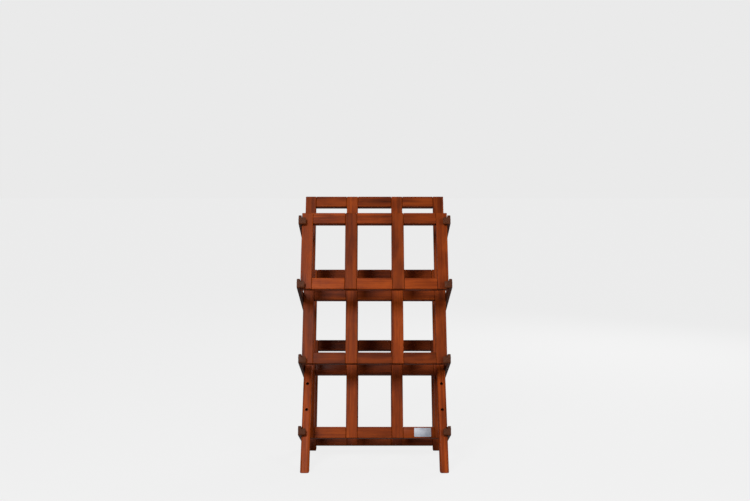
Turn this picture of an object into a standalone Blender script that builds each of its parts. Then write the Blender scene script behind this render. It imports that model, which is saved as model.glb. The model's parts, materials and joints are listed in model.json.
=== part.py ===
"""Folding slatted display rack: four leaning slatted panels tied by pivoting arms.

Metres, +Z up, +X to the rack's right, +Y to its back, floor at Z = 0.
Panels and arms are drawn in a leaning frame: X across, N square to the panels, U up the panels.
"""
import math

import bmesh
import bpy
from mathutils import Vector

# Driving dimensions
LEAN = math.radians(22.5)          # lean of every panel from the vertical
PANEL_PITCH = 0.133                # from one panel's plane to the next, along N
HALF_WIDTH = 0.225                 # outer face of the stiles
STILE_WIDTH = 0.034
SLAT_WIDTH = 0.036
SLAT_SPACING = 0.145               # centre to centre of the two inner slats
BOARD = 0.022                      # thickness of stiles, slats and rails
RAIL_HEIGHT = 0.035
GAP = 0.0003                       # working gap between neighbouring pieces
FLOOR_TO_FRAME = 0.5496            # height of the leaning frame's origin
FOOT_Y = -0.036                    # where the front legs meet the floor
FRAME_SHIFT = -0.1524              # brings the middle of the rack's depth to Y = 0

# Heights along U of each panel: its ends and the lower edges of its inner rails
FRONT_LOW, FRONT_TOP = 0.0, 0.246
UPPER_LOW, UPPER_MIDDLE, UPPER_TOP = -0.2005, 0.0035, 0.354
LOWER_LOW, LOWER_MIDDLE, LOWER_TOP = -0.410, -0.2085, 0.145
REAR_LOW, REAR_BOTTOM, REAR_TOP = -0.438, -0.4155, -0.064    # REAR_LOW is under the floor

ARM_LEVELS = {1: 0.227, 2: 0.022, 3: -0.180, 4: -0.3905}     # the arms' pins, along U
ARM_THICKNESS = 0.0095
ARM_HEIGHT = 0.029
ARM_NOSE = 0.026                   # how far an arm reaches in front of its first pivot
LEG_ARM_NOSE = 0.028               # the same on the lowest arms, whose first pivot is in a leg
ARM_TAIL = 0.018
ARM_OFFSET = -0.008                # an arm's middle lies this much below its pins
ARM_CHAMFER = 0.003
LIP_DEPTH = 0.007                  # hook at the front of an arm, across the stile
LIP_REACH = 0.014
LIP_OVERLAP = 0.004                # how deep the hook is let into its arm
LIP_FRONT_TOP = -0.001             # top of the hook against the pins, front and back: the
LIP_BACK_TOP = -0.0045             # slope clears the stile when the rack is folded

LEG_WIDTH = 0.027
LEG_DEPTH = 0.024
LEG_LEAN = math.radians(32.0)
LEG_LENGTH = 0.338
LEG_EXTRA = 0.03                   # drawn below the floor, then cut flat
LEG_CORNER = 0.004
LEG_HOLES = (0.1917, 0.2767)       # distance of the open holes from the foot
HOLE_RADIUS = 0.005
HOLE_DEPTH = 0.012

PIN_RADIUS = 0.0035
PIN_HEAD = 0.0062
PIN_HEAD_RIM = 0.0012              # thickness of the head at its edge
PIN_HEAD_RISE = 0.0024             # and at its middle
PIN_HEAD_FLAT = 0.6                # flat middle of the head, as a part of its radius
PIN_DEPTH = 0.018                  # how far a pin enters the stile

PLATE_SPAN = (0.125, 0.178)        # blank label plate on the lower panel's bottom rail
PLATE_HALF_HEIGHT = 0.014
PLATE_THICKNESS = 0.0008

TOOL_OVERRUN = 0.01                # how far a cutting tool runs past the face it cuts
FLOOR_REACH = 0.4
ROUND_SIDES = 12
TAIL_STEPS = 8

WALNUT = (0.30, 0.095, 0.022)
DARK_WALNUT = (0.17, 0.055, 0.018)
BRASS = (0.62, 0.44, 0.18)
PAPER = (0.72, 0.74, 0.76)
WOOD_ROUGHNESS = 0.42
ARM_ROUGHNESS = 0.5
BRASS_ROUGHNESS = 0.3
PLATE_ROUGHNESS = 0.35


def clear_scene():
    for thing in list(bpy.data.objects):
        bpy.data.objects.remove(thing, do_unlink=True)


def finish(name, colour, roughness, metallic=0.0):
    material = bpy.data.materials.new(name)
    material.use_nodes = True
    shader = material.node_tree.nodes["Principled BSDF"]
    shader.inputs["Base Color"].default_value = (*colour, 1.0)
    shader.inputs["Roughness"].default_value = roughness
    shader.inputs["Metallic"].default_value = metallic
    material.diffuse_color = (*colour, 1.0)
    return material


def loft(name, rings, parent, material, origin=(0.0, 0.0, 0.0)):
    """A closed body through rings of points, flat at both ends."""
    work = bmesh.new()
    made = [[work.verts.new(Vector(point)) for point in ring] for ring in rings]
    for lower, upper in zip(made, made[1:]):
        for k in range(len(lower)):
            j = (k + 1) % len(lower)
            work.faces.new((lower[k], lower[j], upper[j], upper[k]))
    work.faces.new(made[0])
    work.faces.new(made[-1])
    bmesh.ops.recalc_face_normals(work, faces=work.faces)
    mesh = bpy.data.meshes.new(name)
    work.to_mesh(mesh)
    work.free()
    body = bpy.data.objects.new(name, mesh)
    bpy.context.collection.objects.link(body)
    body.data.materials.append(material)
    body.parent = parent
    body.location = origin
    return body


def prism_across(name, outline, start, end, parent, material):
    """An outline in N and U carried along X."""
    return loft(name, [[(x, n, u) for n, u in outline] for x in (start, end)], parent, material)


def prism_up(name, outline, start, end, parent, material):
    """An outline in X and N carried along U."""
    return loft(name, [[(x, n, u) for x, n in outline] for u in (start, end)], parent, material)


def circle(radius, centre=(0.0, 0.0)):
    turns = [2 * math.pi * k / ROUND_SIDES for k in range(ROUND_SIDES)]
    return [(centre[0] + radius * math.cos(turn), centre[1] + radius * math.sin(turn))
            for turn in turns]


def cut(target, tool):
    tool.hide_render = True
    tool.display_type = "WIRE"
    hole = target.modifiers.new(tool.name[:40], "BOOLEAN")
    hole.operation = "DIFFERENCE"
    hole.solver = "EXACT"
    hole.object = tool


def floor_block(name, cutter):
    """Everything under the floor near the rack."""
    reach = FLOOR_REACH
    corners = [(-reach, -reach), (reach, -reach), (reach, reach), (-reach, reach)]
    return prism_up(name, corners, -reach, 0.0, None, cutter)


def notched_upright(name, span, low, high, plane, rails, parent, material):
    """A stile or slat at the front of a panel, halved over each rail behind it."""
    front = plane - BOARD / 2
    back = plane + BOARD / 2
    middle = plane - GAP / 2
    outline = [(front, low), (front, high), (back, high)]
    for rail in sorted(rails, reverse=True):
        top = rail + RAIL_HEIGHT / 2 + GAP
        bottom = rail - RAIL_HEIGHT / 2 - GAP
        if top < high:
            outline += [(back, top), (middle, top)]
        else:
            outline[-1] = (middle, high)
        if bottom > low:
            outline += [(middle, bottom), (back, bottom)]
        else:
            outline.append((middle, low))
    if outline[-1][1] > low:
        outline.append((back, low))
    return prism_across(name, outline, *span, parent, material)


def notched_rail(name, level, plane, uprights, parent, material):
    """A rail across a panel, halved behind each upright."""
    front = plane - BOARD / 2
    back = plane + BOARD / 2
    middle = plane + GAP / 2
    outline = [(-HALF_WIDTH, back)]
    for x0, x1 in uprights:
        if x0 > -HALF_WIDTH:
            outline += [(x0 - GAP, front), (x0 - GAP, middle)]
        else:
            outline.append((x0, middle))
        if x1 < HALF_WIDTH:
            outline += [(x1 + GAP, middle), (x1 + GAP, front)]
        else:
            outline.append((x1, middle))
    outline.append((HALF_WIDTH, back))
    half = RAIL_HEIGHT / 2
    return prism_up(name, outline, level - half, level + half, parent, material)


def upright_places():
    inner = HALF_WIDTH - STILE_WIDTH
    half_slat = SLAT_WIDTH / 2
    places = {"stile_left": (-HALF_WIDTH, -inner), "stile_right": (inner, HALF_WIDTH)}
    for side, x in (("left", -SLAT_SPACING / 2), ("right", SLAT_SPACING / 2)):
        places["slat_" + side] = (x - half_slat, x + half_slat)
    return places


def rail_levels(low, high, middle=None):
    """Middles of a panel's rails, from its ends and the lower edge of its inner rail."""
    half = RAIL_HEIGHT / 2
    levels = {"top_rail": high - half, "bottom_rail": low + half}
    if middle is not None:
        levels["middle_rail"] = middle + half
    return levels


def make_panel(name, plane, low, high, rails, parent, slat_low=None):
    """Two stiles, two slats and their rails, each its own piece."""
    places = upright_places()
    pieces = {}
    for piece, span in places.items():
        bottom = low if piece.startswith("stile") or slat_low is None else slat_low
        material = finish(name + "_" + piece, WALNUT, WOOD_ROUGHNESS)
        pieces[piece] = notched_upright(name + "_" + piece, span, bottom, high, plane,
                                        rails.values(), parent, material)
    for rail, level in rails.items():
        material = finish(name + "_" + rail, WALNUT, WOOD_ROUGHNESS)
        pieces[rail] = notched_rail(name + "_" + rail, level, plane, sorted(places.values()),
                                    parent, material)
    return {"plane": plane, "rails": rails, "pieces": pieces}


def make_arm(number, side, first, last, parent):
    """A bar outside the stiles with a rounded tail and a hooked nose."""
    level = ARM_LEVELS[number]
    middle = level + ARM_OFFSET
    name = "arm_%d_%s" % (number, side)
    sign = -1 if side == "left" else 1
    inner = HALF_WIDTH + GAP
    half = ARM_HEIGHT / 2
    nose = first - (LEG_ARM_NOSE if number == 4 else ARM_NOSE)
    outline = [(nose, middle - half + ARM_CHAMFER), (nose, middle + half - ARM_CHAMFER),
               (nose + ARM_CHAMFER, middle + half), (last, middle + half)]
    for k in range(1, TAIL_STEPS):
        turn = math.pi / 2 - math.pi * k / TAIL_STEPS
        outline.append((last + ARM_TAIL * math.cos(turn), middle + half * math.sin(turn)))
    outline += [(last, middle - half), (nose + ARM_CHAMFER, middle - half)]
    material = finish(name, DARK_WALNUT, ARM_ROUGHNESS)
    bar = prism_across(name, outline, sign * inner, sign * (inner + ARM_THICKNESS),
                       parent, material)
    lip_back = nose + LIP_DEPTH
    lip = [(nose, middle - half + ARM_CHAMFER), (nose, level + LIP_FRONT_TOP),
           (lip_back, level + LIP_BACK_TOP), (lip_back, middle - half),
           (nose + ARM_CHAMFER, middle - half)]
    tongue = prism_across(name + "_lip", lip, sign * (inner - LIP_REACH),
                          sign * (inner + LIP_OVERLAP), parent, material)
    cut(bar, tongue)
    bar.modifiers[-1].operation = "UNION"
    return bar


def woods_at(panel, side, level):
    """The stile, and the rail behind it if there is one, that a pin at this level enters."""
    reach = RAIL_HEIGHT / 2 + PIN_RADIUS + 2 * GAP
    near = [panel["pieces"][rail] for rail, middle in panel["rails"].items()
            if abs(middle - level) < reach]
    return [panel["pieces"]["stile_" + side]] + near


def make_pin(name, side, centre, woods, parent, cutter):
    """A brass pivot pin: round shank through the arm into the wood, low domed head outside."""
    sign = -1 if side == "left" else 1
    face = HALF_WIDTH + GAP + ARM_THICKNESS
    inner = HALF_WIDTH - PIN_DEPTH
    ends = (sign * (inner - GAP), sign * (face + TOOL_OVERRUN))
    tool = prism_across(name + "_hole", circle(PIN_RADIUS + GAP, centre), *ends, parent, cutter)
    for target in woods:
        cut(target, tool)
    profile = [(inner, PIN_RADIUS), (face + GAP, PIN_RADIUS), (face + GAP, PIN_HEAD),
               (face + PIN_HEAD_RIM, PIN_HEAD), (face + PIN_HEAD_RISE, PIN_HEAD * PIN_HEAD_FLAT)]
    rings = [[(sign * x, n, u) for n, u in circle(radius)] for x, radius in profile]
    loft(name, rings, parent, finish(name, BRASS, BRASS_ROUGHNESS, 1.0), (0.0, *centre))


def make_leg(side, parent, cutter):
    """A square leg with softened corners, two open peg holes and a flat foot on the floor."""
    sign = -1 if side == "left" else 1
    name = "leg_" + side
    outer, inner = HALF_WIDTH, HALF_WIDTH - LEG_WIDTH
    half, soft = LEG_DEPTH / 2, LEG_CORNER
    outline = [(inner + soft, -half), (outer - soft, -half), (outer, -half + soft),
               (outer, half - soft), (outer - soft, half), (inner + soft, half),
               (inner, half - soft), (inner, -half + soft)]
    outline = [(sign * x, depth) for x, depth in outline]
    leg = prism_up(name, outline, -LEG_EXTRA, LEG_LENGTH, parent,
                   finish(name, WALNUT, WOOD_ROUGHNESS))
    cut(leg, floor_block(name + "_floor", cutter))
    for number, level in enumerate(LEG_HOLES, 1):
        hole = circle(HOLE_RADIUS, (sign * (outer + inner) / 2, level))
        ends = (-half - TOOL_OVERRUN, -half + HOLE_DEPTH)
        tool = loft(name + "_hole_%d" % number, [[(x, depth, u) for x, u in hole] for depth in ends],
                    parent, cutter)
        cut(leg, tool)
    return leg


def make_frames():
    """The leaning frame that holds panels and arms, and the steeper one that holds the legs."""
    frame = bpy.data.objects.new("leaning_frame", None)
    frame.location = (0.0, FRAME_SHIFT, FLOOR_TO_FRAME)
    frame.rotation_euler = (-LEAN, 0.0, 0.0)
    legs = bpy.data.objects.new("leg_frame", None)
    legs.location = (0.0, FOOT_Y + FRAME_SHIFT, 0.0)
    legs.rotation_euler = (-LEG_LEAN, 0.0, 0.0)
    for empty in (frame, legs):
        bpy.context.collection.objects.link(empty)
    return frame, legs


def leg_pivot():
    """Where the middle line of a leg crosses the level of the lowest arms' pins, along N."""
    slope = math.tan(LEG_LEAN)
    level = ARM_LEVELS[4]
    reach = (FLOOR_TO_FRAME * slope + level * (math.cos(LEAN) * slope - math.sin(LEAN)) + FOOT_Y)
    return reach / (math.cos(LEAN) + math.sin(LEAN) * slope)


def make_panels(parent):
    rails = {"front": rail_levels(FRONT_LOW, FRONT_TOP),
             "upper": rail_levels(UPPER_LOW, UPPER_TOP, UPPER_MIDDLE),
             "lower": rail_levels(LOWER_LOW, LOWER_TOP, LOWER_MIDDLE),
             "rear": rail_levels(REAR_BOTTOM, REAR_TOP)}
    ends = {"front": (FRONT_LOW, FRONT_TOP), "upper": (UPPER_LOW, UPPER_TOP),
            "lower": (LOWER_LOW, LOWER_TOP), "rear": (REAR_LOW, REAR_TOP)}
    panels = {}
    for number, (label, (low, high)) in enumerate(ends.items()):
        panels[label] = make_panel(label + "_panel", PANEL_PITCH * number, low, high, rails[label],
                                   parent, REAR_BOTTOM if label == "rear" else None)
    return panels


def make_side(side, panels, parent, leg_parent, cutter):
    """The leg, the four arms and all the pins of one side."""
    crossings = {1: ("front", "upper"), 2: ("front", "upper", "lower"),
                 3: ("upper", "lower", "rear"), 4: ("lower", "rear")}
    leg = make_leg(side, leg_parent, cutter)
    for number, names in crossings.items():
        level = ARM_LEVELS[number]
        first = leg_pivot() if number == 4 else panels[names[0]]["plane"]
        arm = make_arm(number, side, first, panels[names[-1]]["plane"], parent)
        for label in names:
            make_pin("pin_%d_%s_%s" % (number, label, side), side, (panels[label]["plane"], level),
                     woods_at(panels[label], side, level) + [arm], parent, cutter)
        if number == 4:
            make_pin("pin_4_leg_" + side, side, (first, level), [leg, arm], parent, cutter)


def make_label(plane, parent):
    level = LOWER_LOW + RAIL_HEIGHT / 2
    back = plane - BOARD / 2 - GAP
    front = back - PLATE_THICKNESS
    left, right = PLATE_SPAN
    prism_up("label_plate", [(left, front), (right, front), (right, back), (left, back)],
             level - PLATE_HALF_HEIGHT, level + PLATE_HALF_HEIGHT, parent,
             finish("label_plate", PAPER, PLATE_ROUGHNESS))


def build():
    clear_scene()
    cutter = finish("cutter", PAPER, WOOD_ROUGHNESS)
    frame, leg_frame = make_frames()
    panels = make_panels(frame)
    floor = floor_block("rear_floor", cutter)
    for side in ("left", "right"):
        cut(panels["rear"]["pieces"]["stile_" + side], floor)
        make_side(side, panels, frame, leg_frame, cutter)
    make_label(panels["lower"]["plane"], frame)


build()
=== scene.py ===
import json
import math

import bmesh
import bpy
from mathutils import Matrix, Vector


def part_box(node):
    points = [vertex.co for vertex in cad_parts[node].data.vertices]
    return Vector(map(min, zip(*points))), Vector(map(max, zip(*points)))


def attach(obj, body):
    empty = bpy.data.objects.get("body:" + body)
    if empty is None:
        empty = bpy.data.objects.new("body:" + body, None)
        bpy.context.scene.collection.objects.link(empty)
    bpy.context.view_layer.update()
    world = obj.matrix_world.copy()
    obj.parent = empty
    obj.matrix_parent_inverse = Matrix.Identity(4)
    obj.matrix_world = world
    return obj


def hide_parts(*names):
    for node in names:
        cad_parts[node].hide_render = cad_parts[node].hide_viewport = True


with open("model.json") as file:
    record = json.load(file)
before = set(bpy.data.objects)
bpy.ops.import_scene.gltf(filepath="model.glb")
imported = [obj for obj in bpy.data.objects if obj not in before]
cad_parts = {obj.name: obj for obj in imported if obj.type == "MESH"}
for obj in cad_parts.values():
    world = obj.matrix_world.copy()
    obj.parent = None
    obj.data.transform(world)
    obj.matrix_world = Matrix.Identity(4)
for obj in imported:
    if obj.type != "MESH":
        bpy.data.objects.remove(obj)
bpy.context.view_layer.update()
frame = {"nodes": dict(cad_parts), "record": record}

LEAN = math.radians(22.5)          # lean of the slatted panels
LEG_LEAN = math.radians(32.0)      # lean of the front legs
EDGE = 0.0022                      # radius of the eased edges
ARM_EDGE = 0.0017
LEG_EDGE = 0.0016
END_COSINE = 0.8                   # a face this square to the grain is end grain
SHARP_ANGLE = math.radians(35)     # an edge turning more than this is eased
SHORTEST_EDGE = 0.0035             # shorter ones belong to the round bores
SMOOTH_ANGLE = math.radians(38)
MERGE_DISTANCE = 0.00002
FLAT_ANGLE = math.radians(1.0)     # faces nearer in line than this are joined
BOARD_SHIFT = Vector((0.173, 0.311, 0.097))    # gives each board its own stretch of grain
PIN_CORNERS = 28
PIN_END = -0.0275                  # inner end of the shank, from the seat
PIN_TAPER = 0.003                  # length of the tapered tip
PIN_TIP = 0.0024
PIN_SHANK = 0.0034
PIN_NECK = 0.0036
PIN_NECK_LENGTH = 0.0002
PIN_RIM = 0.0003                   # height of the head's straight edge
PIN_HEAD = 0.0062
PIN_HEAD_HEIGHT = 0.0024
DOME_STEPS = 6
PIN_MERGE = 0.00003
PIN_SLOT = 0.0007                  # half width of the driver slot
PIN_SLOT_DEPTH = 0.001
PIN_SLOT_REACH = 0.01              # the cutter runs this far each way from the middle
FIRST_TURN, NEXT_TURN = 0.6, 1.9   # so that neighbouring slots point different ways
LABEL_EDGE = 0.0003
CORNER_SHADE_REACH = 0.014               # how far from a corner the painted shade reaches
STAIN_AND_SHADE_POWERS = (1.0, 1.12, 1.3)    # a darker stain or painted shade is also a redder one
CAMERA_LENS = 45.6
CAMERA_SHIFT = -0.0207
CAMERA_PLACE = (0.0015, -3.0235, 0.867)
CAMERA_DIP = math.radians(3.0)
FLOOR_REACH = 60.0
FLOOR_DROP = 0.0005                # keeps the floor just clear of the feet
FLOOR_GREY = (0.05, 0.05, 0.05, 1.0)
WHITE = (1.0, 1.0, 1.0, 1.0)
PAPER_WHITE = 0.823                # brightness of the studio's background
STUDIO_DIM = 0.20                  # how brightly the background lights the rack itself

# How light each board is painted: partly how it took the stain, partly painted shade, the boards
# that lie in shadow behind the front panel set darker; the first name that fits a node counts
STAIN_AND_SHADE_TONES = (("front_panel_top_rail", 1.15), ("front_panel_bottom_rail", 1.28),
         ("front_panel_stile", 1.0), ("front_panel_slat", 0.66),
         ("upper_panel_top_rail", 0.66), ("upper_panel_middle_rail", 0.78),
         ("upper_panel_bottom_rail", 0.48), ("upper_panel_stile", 0.76),
         ("upper_panel_slat_left", 0.86), ("upper_panel_slat_right", 1.2),
         ("lower_panel_top_rail", 0.72), ("lower_panel_middle_rail", 0.75),
         ("lower_panel_bottom_rail", 0.92), ("lower_panel", 1.05),
         ("rear_panel", 0.42), ("leg", 1.5), ("arm", 0.95))


# ---------------------------------------------------------------- camera, light and floor

def add_camera():
    """Stands in front of the rack a little above its top, looking slightly down."""
    data = bpy.data.cameras.new("camera")
    camera = bpy.data.objects.new("camera", data)
    bpy.context.collection.objects.link(camera)
    data.sensor_width = 36.0
    data.lens = CAMERA_LENS
    data.shift_y = CAMERA_SHIFT
    camera.location = CAMERA_PLACE
    camera.rotation_euler = (math.pi / 2 - CAMERA_DIP, 0.0, 0.0)
    bpy.context.scene.camera = camera


def add_area_light(name, place, target, size, power):
    data = bpy.data.lights.new(name, "AREA")
    data.shape = "RECTANGLE"
    data.size, data.size_y = size
    data.energy = power
    light = bpy.data.objects.new(name, data)
    bpy.context.collection.objects.link(light)
    light.location = place
    light.rotation_euler = (Vector(target) - Vector(place)).to_track_quat("-Z", "Y").to_euler()


def seen_or_lit(tree, strength):
    """Paper white where the studio is seen directly, dim where it only lights the rack."""
    path = tree.nodes.new("ShaderNodeLightPath")
    choose = tree.nodes.new("ShaderNodeMapRange")
    choose.inputs["To Min"].default_value = STUDIO_DIM
    choose.inputs["To Max"].default_value = PAPER_WHITE
    tree.links.new(path.outputs["Is Camera Ray"], choose.inputs["Value"])
    tree.links.new(choose.outputs["Result"], strength)


def add_studio():
    """Plain pale floor and backdrop, two soft lights in front and one behind."""
    mesh = bpy.data.meshes.new("floor")
    corners = [(x * FLOOR_REACH, y * FLOOR_REACH, 0.0)
               for x, y in ((-1, -1), (1, -1), (1, 1), (-1, 1))]
    mesh.from_pydata(corners, [], [(0, 1, 2, 3)])
    floor = bpy.data.objects.new("floor", mesh)
    bpy.context.collection.objects.link(floor)
    floor.location.z = -FLOOR_DROP
    paper = bpy.data.materials.new("studio_paper")
    paper.use_nodes = True
    shader = paper.node_tree.nodes["Principled BSDF"]
    shader.inputs["Base Color"].default_value = FLOOR_GREY
    shader.inputs["Roughness"].default_value = 0.9
    shader.inputs["Specular IOR Level"].default_value = 0.0
    shader.inputs["Emission Color"].default_value = WHITE
    seen_or_lit(paper.node_tree, shader.inputs["Emission Strength"])
    mesh.materials.append(paper)
    world = bpy.data.worlds.new("studio")
    bpy.context.scene.world = world
    world.use_nodes = True
    background = world.node_tree.nodes["Background"]
    background.inputs["Color"].default_value = WHITE
    seen_or_lit(world.node_tree, background.inputs["Strength"])
    bpy.context.scene.view_settings.view_transform = "Standard"
    middle = (0.0, 0.0, 0.45)
    add_area_light("key_left", (-1.0, -2.3, 2.1), middle, (0.9, 0.9), 62.0)
    add_area_light("fill_right", (1.7, -2.1, 1.2), middle, (0.7, 1.1), 26.0)
    add_area_light("back_left", (1.6, 2.3, 1.7), middle, (1.2, 1.2), 60.0)


# ---------------------------------------------------------------- materials

class Tree:
    """Small helper that adds nodes to a material and joins them."""

    def __init__(self, name):
        self.material = bpy.data.materials.new(name)
        self.material.use_nodes = True
        self.nodes = self.material.node_tree.nodes
        self.links = self.material.node_tree.links
        self.shader = self.nodes["Principled BSDF"]

    def add(self, kind, **settings):
        node = self.nodes.new(kind)
        for key, value in settings.items():
            setattr(node, key, value)
        return node

    def put(self, socket, value):
        """Join an output to a socket, or set the socket's own value."""
        if hasattr(value, "is_linked"):
            self.links.new(value, socket)
        else:
            socket.default_value = value

    def noise(self, vector, scale, detail=4.0, roughness=0.55, distortion=0.0):
        node = self.add("ShaderNodeTexNoise")
        self.put(node.inputs["Vector"], vector)
        node.inputs["Scale"].default_value = scale
        node.inputs["Detail"].default_value = detail
        node.inputs["Roughness"].default_value = roughness
        node.inputs["Distortion"].default_value = distortion
        return node.outputs["Fac"]

    def stretch(self, vector, scale):
        node = self.add("ShaderNodeMapping")
        self.put(node.inputs["Vector"], vector)
        node.inputs["Scale"].default_value = scale
        return node.outputs["Vector"]

    def span(self, value, low, high, out_low=0.0, out_high=1.0):
        node = self.add("ShaderNodeMapRange")
        self.put(node.inputs["Value"], value)
        node.inputs["From Min"].default_value = low
        node.inputs["From Max"].default_value = high
        node.inputs["To Min"].default_value = out_low
        node.inputs["To Max"].default_value = out_high
        return node.outputs["Result"]

    def ramp(self, value, stops):
        node = self.add("ShaderNodeValToRGB")
        self.put(node.inputs["Fac"], value)
        ramp = node.color_ramp
        while len(ramp.elements) < len(stops):
            ramp.elements.new(0.5)
        for element, (place, colour) in zip(ramp.elements, stops):
            element.position = place
            element.color = (*colour, 1.0)
        return node.outputs["Color"]

    def mix(self, amount, first, second, blend="MIX"):
        node = self.add("ShaderNodeMix", data_type="RGBA", blend_type=blend)
        self.put(node.inputs[0], amount)
        self.put(node.inputs[6], first)
        self.put(node.inputs[7], second)
        return node.outputs[2]

    def maths(self, operation, first, second=0.0):
        node = self.add("ShaderNodeMath", operation=operation)
        self.put(node.inputs[0], first)
        self.put(node.inputs[1], second)
        return node.outputs[0]

    def attribute(self, name):
        return self.add("ShaderNodeAttribute", attribute_name=name)

    def bump(self, height, strength, distance, normal=None):
        node = self.add("ShaderNodeBump")
        self.put(node.inputs["Height"], height)
        node.inputs["Strength"].default_value = strength
        node.inputs["Distance"].default_value = distance
        if normal is not None:
            self.put(node.inputs["Normal"], normal)
        return node.outputs["Normal"]


def grey(tree, value, powers=(1.0, 1.0, 1.0)):
    """A colour whose channels are one value, each raised to its own power."""
    node = tree.add("ShaderNodeCombineColor")
    for socket, power in zip(("Red", "Green", "Blue"), powers):
        tree.put(node.inputs[socket], tree.maths("POWER", value, power))
    return node.outputs["Color"]


def board_stain_and_painted_shade(tree):
    """Each board's tone, part stain and part painted shade, with painted shade darkening it near
    corners and crevices.
    """
    # Painted shade: ambient occlusion darkens the wood near corners and crevices
    corner = tree.add("ShaderNodeAmbientOcclusion", samples=8)
    corner.inputs["Distance"].default_value = CORNER_SHADE_REACH
    shade = tree.maths("MULTIPLY", tree.attribute("tone").outputs["Fac"],
                       tree.span(corner.outputs["AO"], 0.25, 0.85, 0.30, 1.0))
    return grey(tree, shade, STAIN_AND_SHADE_POWERS)


def wood_colour(tree, grain, streak, blotch, pore_mask, end, stains):
    """Figure and streaks, blotchy stain, dark pores, speckled end grain, rubbed edges, and each
    board's tone with painted shade in the corners.
    """
    dark, middle, light, end_colour = stains
    figure = tree.noise(tree.stretch(grain, (1.1, 17.0, 17.0)), 1.7, 5.0, 0.6, 1.1)
    blend = tree.maths("ADD", tree.maths("MULTIPLY", figure, 0.62),
                       tree.maths("MULTIPLY", streak, 0.38))
    colour = tree.ramp(blend, [(0.30, dark), (0.49, middle), (0.68, light)])
    stain = grey(tree, tree.span(blotch, 0.3, 0.72, 0.62, 1.2))
    colour = tree.mix(0.75, colour, stain, "MULTIPLY")
    colour = tree.mix(tree.maths("MULTIPLY", pore_mask, 0.55), colour, (*dark, 1.0))
    speck = tree.noise(tree.stretch(grain, (260.0, 260.0, 260.0)), 2.0, 2.0)
    end_tone = tree.mix(tree.span(speck, 0.4, 0.62), (*end_colour, 1.0), (*dark, 1.0))
    colour = tree.mix(end, colour, end_tone)
    # Painted shade: each board's tone and its darkened corners multiply the colour
    colour = tree.mix(1.0, colour, board_stain_and_painted_shade(tree), "MULTIPLY")
    shape = tree.add("ShaderNodeNewGeometry").outputs["Pointiness"]
    rub = tree.maths("MULTIPLY", tree.span(shape, 0.515, 0.58),
                     tree.span(blotch, 0.4, 0.65, 0.1, 0.6))
    return tree.mix(rub, colour, (*light, 1.0))


def stained_wood(name, *stains):
    """Stained and lacquered hardwood, from its dark, middle, light and end-grain colours."""
    tree = Tree(name)
    grain = tree.attribute("grain").outputs["Vector"]
    end = tree.attribute("end_grain").outputs["Fac"]
    streak = tree.noise(tree.stretch(grain, (5.0, 190.0, 190.0)), 1.0, 4.0, 0.6)
    blotch = tree.noise(tree.stretch(grain, (1.0, 3.0, 3.0)), 9.0, 3.0, 0.5, 0.4)
    pores = tree.noise(tree.stretch(grain, (55.0, 1300.0, 1300.0)), 1.0, 2.0, 0.5)
    pore_mask = tree.span(pores, 0.60, 0.70)
    tree.put(tree.shader.inputs["Base Color"],
             wood_colour(tree, grain, streak, blotch, pore_mask, end, stains))
    gloss = tree.span(blotch, 0.3, 0.7, 0.36, 0.50)
    gloss = tree.maths("ADD", gloss, tree.maths("MULTIPLY", pore_mask, 0.12))
    gloss = tree.maths("ADD", gloss, tree.maths("MULTIPLY", end, 0.1))
    tree.put(tree.shader.inputs["Roughness"], gloss)
    normal = tree.bump(streak, 0.12, 0.0004)
    normal = tree.bump(tree.maths("SUBTRACT", 1.0, pore_mask), 0.22, 0.00025, normal)
    tree.put(tree.shader.inputs["Normal"], normal)
    tree.shader.inputs["Specular IOR Level"].default_value = 0.07
    tree.shader.inputs["Coat Weight"].default_value = 0.02
    tree.shader.inputs["Coat Roughness"].default_value = 0.25
    return tree.material


def aged_brass():
    """Brass mottled in small clouds from dull and dark to bright, with fine scratches."""
    tree = Tree("aged_brass")
    place = tree.add("ShaderNodeTexCoord").outputs["Object"]
    cloud = tree.noise(place, 420.0, 4.0)
    scratch = tree.noise(tree.stretch(place, (300.0, 2600.0, 500.0)), 1.0, 2.0)
    colour = tree.ramp(cloud, [(0.35, (0.16, 0.095, 0.03)), (0.55, (0.42, 0.27, 0.09)),
                               (0.75, (0.62, 0.43, 0.17))])
    tree.put(tree.shader.inputs["Base Color"], colour)
    tree.put(tree.shader.inputs["Roughness"], tree.span(cloud, 0.3, 0.7, 0.5, 0.26))
    tree.put(tree.shader.inputs["Normal"], tree.bump(scratch, 0.15, 0.0001))
    tree.shader.inputs["Metallic"].default_value = 1.0
    return tree.material


def blank_label():
    """A plain silvery plate with faint smudges and no lettering."""
    tree = Tree("blank_label")
    place = tree.add("ShaderNodeTexCoord").outputs["Object"]
    smudge = tree.noise(place, 70.0, 4.0)
    fibre = tree.noise(tree.stretch(place, (250.0, 1500.0, 1500.0)), 1.0, 3.0)
    colour = tree.ramp(smudge, [(0.35, (0.33, 0.36, 0.43)), (0.65, (0.47, 0.49, 0.55))])
    tree.put(tree.shader.inputs["Base Color"], colour)
    tree.put(tree.shader.inputs["Roughness"], tree.span(smudge, 0.3, 0.7, 0.3, 0.45))
    tree.put(tree.shader.inputs["Normal"], tree.bump(fibre, 0.1, 0.0001))
    return tree.material


# ---------------------------------------------------------------- wooden members

def member_frame(node):
    """(turn to the leaning frame, index of the axis that the grain runs along)."""
    if node.startswith("leg_"):
        return Matrix.Rotation(LEG_LEAN, 3, "X"), 2
    turn = Matrix.Rotation(LEAN, 3, "X")
    if node.startswith("arm_"):
        return turn, 1
    return turn, 0 if node.endswith("rail") else 2


def clean_copy(node):
    """The CAD node's solid as a new mesh of flat, merged faces."""
    work = bmesh.new()
    work.from_mesh(frame["nodes"][node].data)
    bmesh.ops.remove_doubles(work, verts=work.verts, dist=MERGE_DISTANCE)
    bmesh.ops.dissolve_limit(work, angle_limit=FLAT_ANGLE, verts=work.verts, edges=work.edges)
    return work


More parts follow.
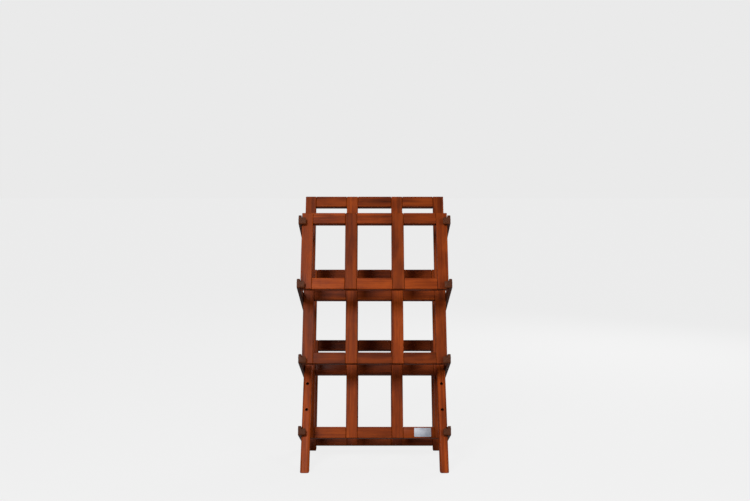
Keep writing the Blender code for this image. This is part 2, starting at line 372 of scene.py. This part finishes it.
def ease_edges(work, radius):
    """Round the outer edges of a member, leaving the small round bores crisp."""
    sharp = []
    for edge in work.edges:
        if len(edge.link_faces) != 2:
            continue
        if edge.calc_face_angle_signed() < SHARP_ANGLE:
            continue
        if edge.calc_length() < SHORTEST_EDGE:
            continue
        sharp.append(edge)
    eased = bmesh.ops.bevel(work, geom=sharp, offset=radius, segments=3, profile=0.5,
                            affect="EDGES", clamp_overlap=True)
    for face in eased["faces"]:
        face.smooth = True


def mark_grain(mesh, node, number):
    """Store where each point lies in the plank, and which faces are end grain."""
    turn, along = member_frame(node)
    across = [axis for axis in range(3) if axis != along]
    shift = BOARD_SHIFT * (number + 1)
    grain = mesh.attributes.new("grain", "FLOAT_VECTOR", "POINT")
    for vertex, item in zip(mesh.vertices, grain.data):
        local = turn @ vertex.co
        item.vector = Vector((local[along], local[across[0]], local[across[1]])) + shift
    # The tone is partly the board's stain, partly painted shade for boards lying in shadow
    tone = next(tone for name, tone in STAIN_AND_SHADE_TONES if node.startswith(name))
    for item in mesh.attributes.new("tone", "FLOAT", "POINT").data:
        item.value = tone
    end = mesh.attributes.new("end_grain", "FLOAT", "FACE")
    for face, item in zip(mesh.polygons, end.data):
        item.value = 1.0 if abs((turn @ face.normal)[along]) > END_COSINE else 0.0


def make_member(node, number, material, radius):
    work = clean_copy(node)
    ease_edges(work, radius)
    mesh = bpy.data.meshes.new(node + "_wood")
    work.to_mesh(mesh)
    work.free()
    mark_grain(mesh, node, number)
    mesh.materials.append(material)
    piece = bpy.data.objects.new(node + "_wood", mesh)
    bpy.context.collection.objects.link(piece)
    return piece


def body_of_node(node):
    for body, members in frame["record"]["behaviour"]["bodies"].items():
        if node in members:
            return body


def add_members():
    walnut = stained_wood("stained_walnut", (0.030, 0.0045, 0.0010), (0.176, 0.0245, 0.0024),
                          (0.350, 0.062, 0.0055), (0.062, 0.018, 0.007))
    arm_wood = stained_wood("stained_arm_wood", (0.028, 0.007, 0.003), (0.088, 0.022, 0.007),
                            (0.150, 0.040, 0.013), (0.104, 0.034, 0.015))
    wooden = [node for node in sorted(frame["nodes"])
              if not node.startswith("pin_") and node != "label_plate"]
    for number, node in enumerate(wooden):
        arm = node.startswith("arm_")
        radius = ARM_EDGE if arm else LEG_EDGE if node.startswith("leg_") else EDGE
        piece = make_member(node, number, arm_wood if arm else walnut, radius)
        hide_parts(node)
        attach(piece, body_of_node(node))


# ---------------------------------------------------------------- pins

def evaluated_mesh(thing, name):
    graph = bpy.context.evaluated_depsgraph_get()
    graph.update()
    mesh = bpy.data.meshes.new_from_object(thing.evaluated_get(graph), depsgraph=graph)
    mesh.name = name
    return mesh


def object_of(work, name, material):
    """A new object of the mesh in work, which is freed."""
    mesh = bpy.data.meshes.new(name)
    work.to_mesh(mesh)
    work.free()
    mesh.materials.append(material)
    made = bpy.data.objects.new(name, mesh)
    bpy.context.collection.objects.link(made)
    return made


def turned_pin(material):
    """A domed pin turned about +X: its seat at X = 0, its shank towards -X."""
    profile = [(PIN_END, 0.0), (PIN_END, PIN_TIP), (PIN_END + PIN_TAPER, PIN_SHANK),
               (-PIN_NECK_LENGTH, PIN_SHANK), (0.0, PIN_NECK), (0.0, PIN_HEAD - PIN_NECK_LENGTH),
               (PIN_RIM, PIN_HEAD)]
    for step in range(1, DOME_STEPS + 1):
        angle = math.pi / 2 * step / DOME_STEPS
        profile.append((PIN_RIM + (PIN_HEAD_HEIGHT - PIN_RIM) * math.sin(angle),
                        PIN_HEAD * math.cos(angle)))
    work = bmesh.new()
    points = [work.verts.new((x, r, 0.0)) for x, r in profile]
    edges = [work.edges.new(pair) for pair in zip(points, points[1:])]
    bmesh.ops.spin(work, geom=points + edges, cent=(0, 0, 0), axis=(1, 0, 0),
                   angle=2 * math.pi, steps=PIN_CORNERS, use_duplicate=False)
    bmesh.ops.remove_doubles(work, verts=work.verts, dist=PIN_MERGE)
    bmesh.ops.recalc_face_normals(work, faces=work.faces)
    return object_of(work, "pin_shape", material)


def slot_cutter(material):
    work = bmesh.new()
    bmesh.ops.create_cube(work, size=2.0)
    for vertex in work.verts:
        vertex.co = Vector((vertex.co.x * PIN_SLOT_DEPTH + PIN_HEAD_HEIGHT,
                            vertex.co.y * PIN_SLOT_REACH, vertex.co.z * PIN_SLOT))
    return object_of(work, "pin_slot", material)


def pin_shape(material):
    """The turned pin with a driver slot cut in its head."""
    shape = turned_pin(material)
    tool = slot_cutter(material)
    cut = shape.modifiers.new("slot", "BOOLEAN")
    cut.operation = "DIFFERENCE"
    cut.solver = "EXACT"
    cut.object = tool
    done = evaluated_mesh(shape, "pin_shape_done")
    done.shade_smooth()
    done.set_sharp_from_angle(angle=SMOOTH_ANGLE)
    shape.modifiers.clear()
    shape.data = done
    bpy.data.objects.remove(tool)
    return shape


def pin_tree(shape, material):
    """Sets a pin on every point, turned by the point's own 'turn' attribute."""
    tree = bpy.data.node_groups.new("pins_on_points", "GeometryNodeTree")
    face = tree.interface
    face.new_socket("Geometry", in_out="INPUT", socket_type="NodeSocketGeometry")
    size = face.new_socket("Pin size", in_out="INPUT", socket_type="NodeSocketFloat")
    size.default_value = 1.0
    face.new_socket("Geometry", in_out="OUTPUT", socket_type="NodeSocketGeometry")
    new, link = tree.nodes.new, tree.links.new
    start, end = new("NodeGroupInput"), new("NodeGroupOutput")
    source = new("GeometryNodeObjectInfo")
    source.inputs["Object"].default_value = shape
    turn = new("GeometryNodeInputNamedAttribute")
    turn.data_type = "FLOAT_VECTOR"
    turn.inputs["Name"].default_value = "turn"
    rotation = new("FunctionNodeEulerToRotation")
    place = new("GeometryNodeInstanceOnPoints")
    real = new("GeometryNodeRealizeInstances")
    paint = new("GeometryNodeSetMaterial")
    paint.inputs["Material"].default_value = material
    link(start.outputs["Geometry"], place.inputs["Points"])
    link(source.outputs["Geometry"], place.inputs["Instance"])
    link(turn.outputs["Attribute"], rotation.inputs["Euler"])
    link(rotation.outputs["Rotation"], place.inputs["Rotation"])
    link(start.outputs["Pin size"], place.inputs["Scale"])
    link(place.outputs["Instances"], real.inputs["Geometry"])
    link(real.outputs["Geometry"], paint.inputs["Geometry"])
    link(paint.outputs["Geometry"], end.inputs["Geometry"])
    return tree, size.identifier


def add_pins():
    brass = aged_brass()
    shape = pin_shape(brass)
    tree, size_name = pin_tree(shape, brass)
    for body, members in frame["record"]["behaviour"]["bodies"].items():
        pins = sorted(node for node in members if node.startswith("pin_"))
        if not pins:
            continue
        points, turns = [], []
        for number, node in enumerate(pins):
            low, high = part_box(node)
            right = low.x + high.x > 0
            seat = (high.x if right else low.x) - (1 if right else -1) * PIN_HEAD_HEIGHT
            points.append((seat, (low.y + high.y) / 2, (low.z + high.z) / 2))
            turns.append((FIRST_TURN + NEXT_TURN * number, 0.0, 0.0 if right else math.pi))
        mesh = bpy.data.meshes.new(body + "_pins")
        mesh.from_pydata(points, [], [])
        turn = mesh.attributes.new("turn", "FLOAT_VECTOR", "POINT")
        for item, value in zip(turn.data, turns):
            item.vector = value
        piece = bpy.data.objects.new(body + "_pins", mesh)
        bpy.context.collection.objects.link(piece)
        modifier = piece.modifiers.new("pins", "NODES")
        modifier.node_group = tree
        modifier[size_name] = 1.0
        done = evaluated_mesh(piece, body + "_pins_mesh")
        piece.modifiers.clear()
        piece.data = done
        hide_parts(*pins)
        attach(piece, body)
    bpy.data.objects.remove(shape)


# ---------------------------------------------------------------- label plate

def add_label():
    """A thin blank plate with softened corners on the lowest rail."""
    work = clean_copy("label_plate")
    bmesh.ops.bevel(work, geom=list(work.edges), offset=LABEL_EDGE, segments=2, profile=0.5,
                    affect="EDGES", clamp_overlap=True)
    mesh = bpy.data.meshes.new("label_blank")
    work.to_mesh(mesh)
    work.free()
    mesh.materials.append(blank_label())
    mesh.shade_smooth()
    mesh.set_sharp_from_angle(angle=SMOOTH_ANGLE)
    piece = bpy.data.objects.new("label_blank", mesh)
    bpy.context.collection.objects.link(piece)
    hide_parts("label_plate")
    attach(piece, "lower_panel")


add_camera()
add_studio()
add_members()
add_pins()
add_label()
